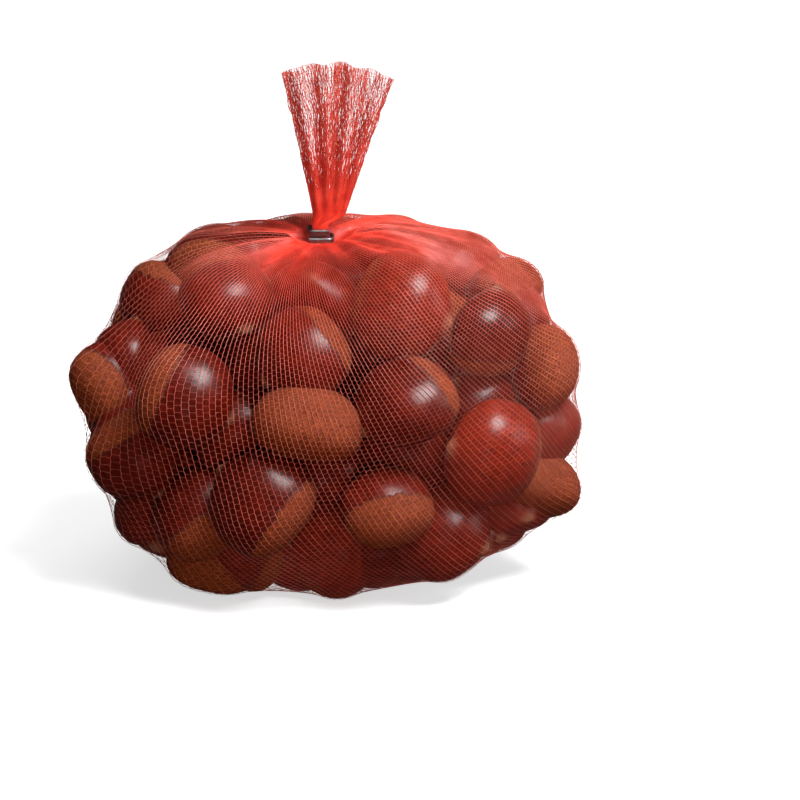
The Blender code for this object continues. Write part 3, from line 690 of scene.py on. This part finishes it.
def knit_grid(skin):
    """Stitch places, by line and row, all over the bag from the top gather to the end gather."""
    top, end = np.array(TOP_GATHER) - CORE, np.array(END_GATHER) - CORE
    pencil = Pencil(top, end)
    near_top = KNIT_STARTS_AT / np.linalg.norm(top)
    near_end = KNIT_STARTS_AT / np.linalg.norm(end)
    first = near_top * (1 + abs(pencil.start) ** 2) / 2
    last = 2 / near_end
    measured = np.angle(pencil.flat(MEASURED_WAY) - pencil.start)
    reach = np.geomspace(first, last, 3000)
    seam = on_skin(skin, pencil.directions(measured, reach))
    length = np.concatenate([[0], np.cumsum(np.linalg.norm(np.diff(seam, axis=0), axis=1))])
    rows = int(length[-1] / COURSE_STEP)
    reach = np.interp(np.linspace(0, length[-1], rows), length, reach)
    thin_way = unit(np.array([-math.cos(THIN_SIDE), -math.sin(THIN_SIDE), THIN_SLOPE]))
    thin_turn = np.angle(pencil.flat(thin_way) - pencil.start)
    turns = pencil.even_turns(thin_turn)[:, None]
    sway = sum(
        share * np.sin(along * np.log(reach) + around * turns + shift)
        for share, along, around, shift in SWAYS
    )
    turns = turns + sway * 2 * math.pi / WALES
    grid = on_skin(skin, pencil.directions(turns, np.broadcast_to(reach, turns.shape)))
    line, row = np.indices(turns.shape)
    linked_on = (line + row) % 2 == 0
    partner = np.where(linked_on, (line + 1) % WALES, line - 1)
    return grid + STITCH_PULL * (grid[partner, row] - grid)


def gathered(rim, place, way):
    """Lines carried on from the rim of the knit into a neck, as a smooth curve into its bundle."""
    frame_of_end = np.array(end_frame(place, way))
    local = (rim - frame_of_end[:3, 3]) @ frame_of_end[:3, :3]
    turn = np.arctan2(local[:, 1], local[:, 0])
    layer = 1 - NECK_LAYER_STEP * (np.arange(len(rim)) % NECK_LAYERS)
    x, y = NECK_HALF_WIDTH * layer * np.cos(turn), NECK_HALF_DEPTH * layer * np.sin(turn)
    inner = np.column_stack([x, y])
    height = np.ones((len(rim), 1))
    top = np.hstack([inner, height * CLIP_SPAN / 2])
    mouth = np.hstack([inner, height * NECK_MOUTH])
    bend = np.hstack([inner * 1.1, (local[:, 2:] + 0.2 * MM)])
    share = np.linspace(0, 1, 7)[None, :, None]
    curve = (1 - share) ** 2 * mouth[:, None] + 2 * share * (1 - share) * bend[:, None]
    curve += share**2 * local[:, None]
    curve = np.concatenate([top[:, None], curve[:, :-1]], axis=1)
    return curve @ frame_of_end[:3, :3].T + frame_of_end[:3, 3]


def end_frame(place, way):
    """Turns a piece built up +Z with its front to -Y so that it leaves a gathered end along way."""
    side = way.cross(Vector((0, 0, 1)))
    if side.length < 1e-6:
        return Matrix.Translation(place)
    side.normalize()
    turn = Matrix((side, way.cross(side), way)).transposed()
    return Matrix.Translation(place) @ turn.to_4x4()


def fan_spread(openness):
    """Places across a flat folded tube, from -1 to 1 along its front and back along its rear."""
    across = np.linspace(-1, 1, 2001)
    density = np.full_like(across, 1.0)
    for middle, half_width, reach, sparseness in FAN_BANDS:
        left = np.clip((openness - 1 + reach) / reach, 0, 1)
        narrowed = half_width * (BAND_FOOT + (1 - BAND_FOOT) * left)
        density -= sparseness * min(1, 4 * left) * np.exp(-(((across - middle) / narrowed) ** 4))
    density = np.maximum(density, 0.2)
    share = np.concatenate([[0], np.cumsum((density[1:] + density[:-1]) / 2)])
    share /= share[-1]
    layer = np.interp((np.arange(WALES // 2) + 0.5) / (WALES // 2), share, across)
    return np.concatenate([layer, layer[::-1]])


def fan_grid():
    """Stitch places in the fan above the top clip, by line and row."""
    rng = np.random.default_rng(SEED)
    rows = int(FAN_LENGTH / FAN_COURSE_STEP)
    share = np.linspace(0, 1, rows)[None]
    start = CLIP_SPAN / FAN_LENGTH
    flare = np.maximum(0, (share - start) / (1 - start))
    across = np.stack([fan_spread(openness) for openness in flare[0]], axis=1)
    side = np.where(np.arange(WALES) < WALES // 2, -1.0, 1.0)[:, None]
    root = np.minimum(1, flare / FAN_ROOT_SHARE)
    root = root * root * (3 - 2 * root)
    half_width = NECK_HALF_WIDTH * 0.95 + (FAN_ROOT_HALF_WIDTH - NECK_HALF_WIDTH) * root
    half_width = half_width + (FAN_HALF_WIDTH - FAN_ROOT_HALF_WIDTH) * flare
    flatness = np.minimum(1, flare / FAN_FLAT_BY)
    half_depth = NECK_HALF_DEPTH * 0.9 * (1 - flatness) + FAN_HALF_THICKNESS * flatness
    fold = FAN_FOLD * np.minimum(1, flare / FAN_FOLDED_BY)
    fold = fold * np.sin(across * math.pi * FAN_FOLDS + FAN_FOLD_SHIFT)
    wander = rng.normal(0, FAN_WANDER, (WALES, rows))
    wander = (np.roll(wander, 1, axis=1) + 2 * wander + np.roll(wander, -1, axis=1)) / 4
    wander = wander * np.minimum(1, flare / FAN_LOOSE_BY)
    twist = FAN_TWIST * np.sin(2.2 * across + 0.5) * np.exp(-flare / FAN_TWIST_FADE) * root
    spread = across + wander + twist
    bulge = np.sqrt(np.maximum(0, 1 - across**2)) * 0.9 + 0.1
    crease = FAN_CREASE * np.sin(8 * across - 22 * flare) * root * np.exp(-flare / FAN_CREASE_FADE)
    end = 1 + FAN_EDGE_RAGGED * np.sin(9 * across[:, -1:] + side) + FAN_LAYER_OFFSET * side
    x = TOP_GATHER.x + half_width * spread + FAN_ROOT_SHIFT * root + FAN_LEAN * flare
    y = TOP_GATHER.y + side * half_depth * bulge + fold + crease
    drop = FAN_EDGE_DROP * flare * (across - FAN_EDGE_PEAK) ** 2
    z = TOP_GATHER.z + FAN_LENGTH * share * end - drop
    return np.stack([x, y, z], axis=-1)


def stub_grid():
    """Stitch places in the short stub beyond the end clip, by line and row."""
    turn = np.arange(WALES)[:, None] * 2 * math.pi / WALES
    share = np.linspace(0, 1, STUB_ROWS)[None]
    start = CLIP_SPAN / STUB_LENGTH
    flare = np.maximum(0, (share - start) / (1 - start)) ** 0.8
    half_width = NECK_HALF_WIDTH * 0.9 + (STUB_HALF_WIDTH - NECK_HALF_WIDTH) * flare
    half_depth = NECK_HALF_DEPTH * 0.9 + (STUB_HALF_THICKNESS - NECK_HALF_DEPTH * 0.9) * flare
    x = half_width * np.cos(turn)
    y = half_depth * np.sin(turn) + STUB_RUFFLE * np.sin(5 * turn) * flare
    z = STUB_LENGTH * share + STUB_EDGE * np.sin(7 * turn) * flare
    place = np.array(end_frame(END_GATHER, END_WAY))
    return np.stack([x, y, z], axis=-1) @ place[:3, :3].T + place[:3, 3]


# Meshes


def added(name, data):
    """A new object in the scene."""
    made = bpy.data.objects.new(name, data)
    bpy.context.scene.collection.objects.link(made)
    return made


def mesh_piece(name, points, faces, look):
    """A smooth mesh object that rides on the part and takes the place of the net's solid."""
    data = bpy.data.meshes.new(name)
    data.from_pydata(points.tolist(), [], faces.tolist())
    data.materials.append(look)
    data.shade_smooth()
    piece = added(name, data)
    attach(piece, "root")
    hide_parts("net_bag")
    return piece


def add_attribute(piece, label, values):
    """A number or a vector for each point of a piece, for its material."""
    kind, key = ("FLOAT_VECTOR", "vector") if values.ndim == 2 else ("FLOAT", "value")
    held = piece.data.attributes.new(label, kind, "POINT")
    held.data.foreach_set(key, values.ravel().astype(np.float32))


def threads(name, paths, outward, width, look, crowd=0.0):
    """Three-sided threads along paths of equal length, with a ridge to the outside.

    The outward way, the width and the crowd are one for all points or one for each. The crowd says
    how closely a thread lies to its neighbours, from 0 to 1, and goes to the material.
    """
    along = unit(np.gradient(paths, axis=1))
    outward = unit(outward - (outward * along).sum(-1, keepdims=True) * along)
    side = np.cross(along, outward)
    width = np.broadcast_to(width, paths.shape[:2])[..., None]
    corners = ((-0.5, -0.29), (0.5, -0.29), (0.0, 0.58))
    rings = np.stack([paths + width * (side * out + outward * up) for out, up in corners], axis=2)
    count, steps = paths.shape[:2]
    index = np.arange(count * steps * 3).reshape(count, steps, 3)
    following = np.roll(index, -1, axis=2)
    quads = np.stack([index[:, :-1], following[:, :-1], following[:, 1:], index[:, 1:]], axis=-1)
    piece = mesh_piece(name, rings.reshape(-1, 3), quads.reshape(-1, 4), look)
    add_attribute(piece, "thread_crowd", np.repeat(np.broadcast_to(crowd, paths.shape[:2]), 3))


def links(grid, first_row):
    """Short threads between neighbouring lines, at every other stitch and staggered line by line."""
    line, row = np.indices(grid.shape[:2])
    chosen = ((line + row) % 2 == 0) & (row >= first_row)
    line, row = line[chosen], row[chosen]
    return np.stack([grid[line, row], grid[(line + 1) % len(grid), row]], axis=1)


def build_net(skin, look):
    """The net's lines and links over the bag."""
    grid = knit_grid(skin)
    top = gathered(grid[:, 0], TOP_GATHER, TOP_WAY)
    end = gathered(grid[:, -1], END_GATHER, END_WAY)
    paths = np.concatenate([top, grid, end[:, ::-1]], axis=1)
    outward = unit(paths - CORE)
    spacing = np.linalg.norm(paths - np.roll(paths, 1, axis=0), axis=2)
    crowd = np.exp(-((spacing / SLACK_SPACING) ** 2))
    width = WALE_THREAD * (1 + SLACK_SWELL * crowd)
    for letter, lines in zip("abc", np.array_split(np.arange(WALES), 3)):
        threads("net_lines_" + letter, paths[lines], outward[lines], width[lines], look, crowd[lines])
    cross = links(grid, FIRST_LINKED_ROW)
    for letter, some in zip("ab", np.array_split(cross, 2)):
        threads("net_links_" + letter, some, unit(some - CORE), LINK_THREAD, look)


def build_net_ends(look):
    """The fan above the top clip and the stub beyond the end clip."""
    fan = fan_grid()
    forward = np.array([0.0, -1.0, 0.0])
    line, row = np.indices(fan.shape[:2])
    width = FAN_THREAD * (1 + FAN_LOOP_SWELL * np.where((line + row) % 2 == 0, 1, -1))
    crowd = 1 - (1 - FAN_EDGE_CROWD) * row / fan.shape[1]
    threads("fan_lines", fan, forward, width, look, crowd)
    cross = links(fan, FAN_FIRST_LINKED_ROW)
    threads("fan_links", cross, forward, FAN_LINK_THREAD, look, FAN_LINK_CROWD)
    aside = unit(np.cross(np.array(END_WAY), np.array([1.0, 0, 0])))
    threads("stub_lines", stub_grid(), aside, FAN_THREAD, look, 1.0)


def build_nuts(name, nuts, looks, level, look, rng):
    """Nuts as one mesh, with where each point lies on its nut for the material."""
    directions, faces, _ = icosphere(level)
    points, triangles, grains = [], [], []
    for index, nut in enumerate(nuts):
        uneven = 1 + NUT_UNEVENNESS * np.sin(directions @ rng.normal(0, 2.2, 3) + rng.uniform(0, 6))
        skin = nut_skin(directions, 2 * nut.half[0]) * uneven[:, None]
        points.append(nut.centre + skin @ nut.axes)
        triangles.append(faces + index * len(directions))
        turn = np.arctan2(directions[:, 2], directions[:, 0])
        shift = rng.uniform(0, 50)
        along = GRAIN_ALONG * directions[:, 1] + shift
        grains.append(np.column_stack([GRAIN_ROUND * np.cos(turn), along, GRAIN_ROUND * np.sin(turn)]))
    piece = mesh_piece(name, np.concatenate(points), np.concatenate(triangles), look)
    tones, scars = np.repeat(looks, len(directions), axis=0).T
    add_attribute(piece, "nut_spot", np.tile(directions, (len(nuts), 1)))
    add_attribute(piece, "nut_grain", np.concatenate(grains))
    add_attribute(piece, "nut_tone", tones)
    add_attribute(piece, "nut_scar", scars)


# Materials

# Where a Mix node has its two colours among its inputs, and the mixed one among its outputs
MIX_COLOURS = (6, 7)
MIX_RESULT = 2


class Look:
    """A material whose nodes are added one at a time."""

    def __init__(self, name, **fixed):
        self.material = bpy.data.materials.new(name)
        self.material.use_nodes = True
        self.tree = self.material.node_tree
        self.shader = self.tree.nodes["Principled BSDF"]
        for label, value in fixed.items():
            self.shader.inputs[label.replace("_", " ")].default_value = value

    def add(self, kind, inputs=None, **settings):
        """A node with its settings, and its inputs as values or as other nodes' outputs."""
        made = self.tree.nodes.new("ShaderNode" + kind)
        for label, value in settings.items():
            setattr(made, label, value)
        for label, value in (inputs or {}).items():
            if isinstance(value, bpy.types.NodeSocket):
                self.tree.links.new(value, made.inputs[label])
            else:
                made.inputs[label].default_value = value
        return made

    def attribute(self, label, output="Vector"):
        """A mesh attribute, as a vector or as a number."""
        return self.add("Attribute", attribute_name=label).outputs[output]

    def maths(self, operation, one, two=0.0, clamp=False):
        """One sum."""
        made = self.add("Math", {0: one, 1: two}, operation=operation, use_clamp=clamp)
        return made.outputs[0]

    def ramp(self, factor, stops):
        """Colours along a factor."""
        made = self.add("ValToRGB", {"Fac": factor})
        elements = made.color_ramp.elements
        while len(elements) < len(stops):
            elements.new(0.5)
        for element, (place, colour) in zip(elements, stops):
            element.position = place
            element.color = (*colour, 1)
        return made.outputs["Color"]

    def shades(self, noise, dark, light):
        """From a dark to a light colour along a noise."""
        return self.ramp(noise, ((0.3, dark), (0.7, light)))

    def mix(self, factor, one, two):
        """Two colours mixed by a factor. The second may be a plain colour."""
        if isinstance(two, tuple):
            two = (*two, 1)
        inputs = {0: factor, MIX_COLOURS[0]: one, MIX_COLOURS[1]: two}
        return self.add("Mix", inputs, data_type="RGBA").outputs[MIX_RESULT]

    def noise(self, vector, scale, detail=3.0, roughness=0.55):
        """Noise over a vector, from about 0.2 to 0.8."""
        inputs = {"Vector": vector, "Scale": scale, "Detail": detail, "Roughness": roughness}
        return self.add("TexNoise", inputs).outputs["Fac"]

    def bump(self, height, distance, strength=1.0, normal=None):
        """A bumped normal."""
        inputs = {"Height": height, "Distance": distance, "Strength": strength}
        if normal is not None:
            inputs["Normal"] = normal
        return self.add("Bump", inputs).outputs["Normal"]

    def give(self, label, value):
        """Links a value to one of the shader's inputs."""
        self.tree.links.new(value, self.shader.inputs[label])


def chestnut_look():
    """Glossy red-brown shell with fine lines to the tip, a rough tan base and a pale downy tip."""
    look = Look("chestnut_shell", Specular_IOR_Level=0.32)
    spot = look.attribute("nut_spot")
    grain = look.attribute("nut_grain")
    tone = look.attribute("nut_tone", "Fac")
    scar = look.attribute("nut_scar", "Fac")
    along = look.add("SeparateXYZ", {0: spot}).outputs["Y"]
    place = look.add("TexCoord").outputs["Object"]

    streaks = look.noise(grain, 2.6, 5.0, 0.6)
    clouds = look.noise(place, 70.0, 3.0)
    dark = look.shades(streaks, (0.026, 0.001, 0.0004), (0.072, 0.0045, 0.002))
    red = look.shades(streaks, (0.085, 0.005, 0.002), (0.25, 0.019, 0.007))
    redness = look.maths("ADD", tone, look.maths("SUBTRACT", clouds, 0.5), clamp=True)
    shell = look.mix(redness, dark, red)

    pores = look.noise(place, 1700.0, 3.0, 0.7)
    blotches = look.noise(place, 160.0, 3.0)
    dark_tan, mid_tan, pale_tan = (0.05, 0.005, 0.001), (0.19, 0.029, 0.005), (0.42, 0.088, 0.018)
    tan = look.ramp(pores, ((0.34, dark_tan), (0.5, mid_tan), (0.66, pale_tan)))
    tan = look.mix(look.maths("MULTIPLY", blotches, 0.6), tan, (0.09, 0.013, 0.003))

    edge = look.noise(grain, 1.3, 4.0, 0.6)
    level = look.maths("ADD", along, look.maths("MULTIPLY", look.maths("SUBTRACT", edge, 0.5), 0.22))
    below = look.maths("SUBTRACT", scar, level)
    base = look.maths("MULTIPLY", look.maths("ADD", below, 0.015), 30.0, clamp=True)
    off_edge = look.maths("MULTIPLY", look.maths("ABSOLUTE", below), 18.0)
    rim = look.maths("SUBTRACT", 1.0, off_edge, clamp=True)

    down = look.noise(grain, 6.0, 4.0, 0.7)
    above = look.maths("SUBTRACT", along, look.maths("MULTIPLY", down, 0.14))
    tip = look.maths("MULTIPLY", look.maths("SUBTRACT", above, 0.9), 14.0, clamp=True)

    colour = look.mix(base, shell, tan)
    colour = look.mix(look.maths("MULTIPLY", rim, 0.55), colour, (0.035, 0.011, 0.007))
    colour = look.mix(look.maths("MULTIPLY", tip, 0.8), colour, (0.42, 0.24, 0.13))
    look.give("Base Color", colour)

    shell_rough = look.maths("ADD", look.maths("MULTIPLY", streaks, 0.16), 0.23)
    matte = look.maths("MAXIMUM", base, tip)
    rough = look.maths("ADD", shell_rough, look.maths("MULTIPLY", matte, 0.5), clamp=True)
    look.give("Roughness", rough)

    shell_relief = look.bump(streaks, 0.08 * MM, 0.6)
    base_relief = look.bump(look.maths("MULTIPLY", pores, base), 0.3 * MM, 0.8, shell_relief)
    look.give("Normal", base_relief)
    return look.material


def net_look(name, painted_glow, close_reds):
    """Shiny plastic thread, painted deeper red where it lies close and a paler painted sheen where one
    thread lies by itself.

    The glow is painted light: it stands for the light that comes through the thread, and is weak and
    deep red where it lies close.
    """
    look = Look(name, Roughness=0.3, Specular_IOR_Level=0.6, Emission_Strength=painted_glow)
    place = look.add("TexCoord").outputs["Object"]
    uneven = look.noise(place, 240.0, 3.0)
    crowd = look.attribute("thread_crowd", "Fac")
    # Painted light: the deeper red where threads lie close stands for light passing through several
    # layers, the paler lone red for a painted sheen
    colour = look.mix(crowd, look.shades(uneven, *LONE_PAINTED_SHEEN_REDS), look.shades(uneven, *close_reds))
    look.give("Base Color", colour)
    # Painted glow: emission in place of the light that comes through the thread, deep red where threads
    # lie close
    look.give("Emission Color", look.mix(crowd, colour, (0.2, 0.005, 0.002)))
    look.give("Normal", look.bump(look.noise(place, 4200.0, 2.0), 0.05 * MM, 0.5))
    return look.material


def clip_look():
    """Dull drawn aluminium with fine lines round the wire and small dents."""
    look = Look("clip_metal", Metallic=1.0)
    place = look.add("TexCoord").outputs["Object"]
    stretched = look.add("Mapping", {"Vector": place, "Scale": (1, 1, 14)}).outputs["Vector"]
    lines = look.noise(stretched, 900.0, 4.0, 0.6)
    dents = look.noise(place, 420.0, 3.0)
    look.give("Base Color", look.shades(lines, (0.11, 0.105, 0.11), (0.33, 0.32, 0.33)))
    look.give("Roughness", look.maths("ADD", look.maths("MULTIPLY", lines, 0.2), 0.24))
    fine = look.bump(lines, 0.04 * MM, 0.6)
    look.give("Normal", look.bump(dents, 0.25 * MM, 0.6, fine))
    return look.material


def floor_look():
    """Pale matte card."""
    look = Look("floor_card", Roughness=0.9, Emission_Color=(1, 1, 1, 1), Emission_Strength=0.6)
    place = look.add("TexCoord").outputs["Object"]
    grain = look.noise(place, 60.0, 4.0)
    look.give("Base Color", look.shades(grain, (0.86, 0.86, 0.86), (0.89, 0.89, 0.89)))
    return look.material


# The stage


def build_camera():
    """The camera at the photograph's angle and framing."""
    axes = view_axes()
    data = bpy.data.cameras.new("camera")
    data.sensor_width = SENSOR_WIDTH
    data.lens = SENSOR_WIDTH * VIEW_DISTANCE / FRAME_WIDTH
    camera = added("camera", data)
    aim = CORE + axes[0] * AIM_ACROSS + axes[1] * AIM_UP
    turn = Matrix([list(row) for row in axes]).transposed()
    camera.matrix_world = Matrix.Translation(aim + axes[2] * VIEW_DISTANCE) @ turn.to_4x4()
    bpy.context.scene.camera = camera


def add_softbox(name, azimuth, elevation, distance, size, power, mirrored):
    """A square area light that faces the bag, azimuth counted from the front towards the right."""
    turn, rise = math.radians(azimuth), math.radians(elevation)
    way = Vector((math.sin(turn) * math.cos(rise), -math.cos(turn) * math.cos(rise), math.sin(rise)))
    data = bpy.data.lights.new(name, "AREA")
    data.size = size
    data.energy = power
    light = added(name, data)
    light.visible_glossy = mirrored
    light.location = way * distance + Vector(CORE)
    light.rotation_euler = way.to_track_quat("Z", "Y").to_euler()


def build_stage():
    """A pale floor, soft lights and a faint even surround."""
    data = bpy.data.meshes.new("floor")
    corners = [(-1, -1), (1, -1), (1, 1), (-1, 1)]
    data.from_pydata([(x * FLOOR_REACH, y * FLOOR_REACH, 0) for x, y in corners], [], [(0, 1, 2, 3)])
    data.materials.append(floor_look())
    floor = added("floor", data)
    floor.visible_glossy = False
    floor.visible_diffuse = False
    for softbox in SOFTBOXES:
        add_softbox(*softbox)
    world = bpy.data.worlds.new("surround")
    world.use_nodes = True
    background = world.node_tree.nodes["Background"]
    background.inputs["Color"].default_value = (1, 1, 1, 1)
    background.inputs["Strength"].default_value = SURROUND_STRENGTH
    bpy.context.scene.world = world
    bpy.context.scene.view_settings.view_transform = "Standard"


def build_chestnuts(nuts, further):
    """The nuts as three pieces: the finest nearest to the viewer, the coarsest deep inside."""
    rng = np.random.default_rng(SEED)
    looks = [tuple(row[-2:]) for row in SEEN_NUTS]
    looks += [(rng.uniform(0.1, 0.9), rng.uniform(-0.5, -0.2)) for _ in nuts[len(SEEN_NUTS) :]]
    looks += [(rng.uniform(0.3, 0.8), -0.5) for _ in further]
    nuts = nuts + further
    outer = np.array([shell_level(nut.centre, 0) > INNER_LEVEL for nut in nuts])
    nearness = np.array([nut.centre @ view_axes()[2] for nut in nuts])
    front = nearness >= np.sort(nearness)[-FINE_NUTS]
    groups = {"front": outer & front, "back": outer & ~front, "inner": ~outer}
    shell = chestnut_look()
    for (label, chosen), fineness in zip(groups.items(), FINENESS):
        members = [nuts[index] for index in np.flatnonzero(chosen)]
        member_looks = [looks[index] for index in np.flatnonzero(chosen)]
        build_nuts("chestnuts_" + label, members, member_looks, fineness, shell, rng)


def main():
    """The whole scene: nuts, net, clips and stage."""
    build_camera()
    build_stage()
    placed = placed_nuts()
    nuts = settled(placed, filling_nuts(placed, np.random.default_rng(SEED)))
    skin = tightened_net(nuts)
    further = [held_inside(nut, skin) for nut in nuts_in_view(GAP_NUTS)]
    further += outline_nuts(nuts + further, skin)
    build_chestnuts(nuts, further)
    build_net(skin, net_look("net_thread", 0.0, NET_REDS))
    build_net_ends(net_look("fan_thread", FAN_PAINTED_GLOW, FAN_REDS))
    metal = clip_look()
    for name in ("top_clip", "end_clip"):
        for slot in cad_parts[name].material_slots:
            slot.material = metal


main()
